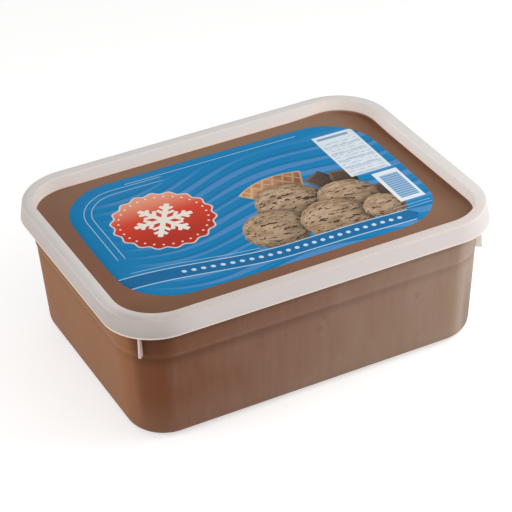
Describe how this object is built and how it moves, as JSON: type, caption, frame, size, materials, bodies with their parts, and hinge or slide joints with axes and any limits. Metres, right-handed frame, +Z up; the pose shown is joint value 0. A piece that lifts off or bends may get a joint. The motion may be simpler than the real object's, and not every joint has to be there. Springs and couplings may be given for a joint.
{
  "type": "ice cream tub",
  "caption": "Shut oblong ice cream tub: drafted tub with a stacking step and corner ribs, press-on lid with a sunk printed panel, brown ice cream seen through the wall.",
  "frame": {"origin": "middle of the base, at the lowest point", "axes": "+Z up, X along the long side, Y along the short side"},
  "size_m": [0.22, 0.16, 0.08],
  "materials": {
    "tub_plastic": "satin",
    "lid_plastic": "satin",
    "lid_print": "gloss",
    "ice_cream": "matte"
  },
  "bodies": {
    "root": {"tub": "tub_plastic", "lid": "lid_plastic", "ice_cream": "ice_cream"}
  },
  "joints": []
}
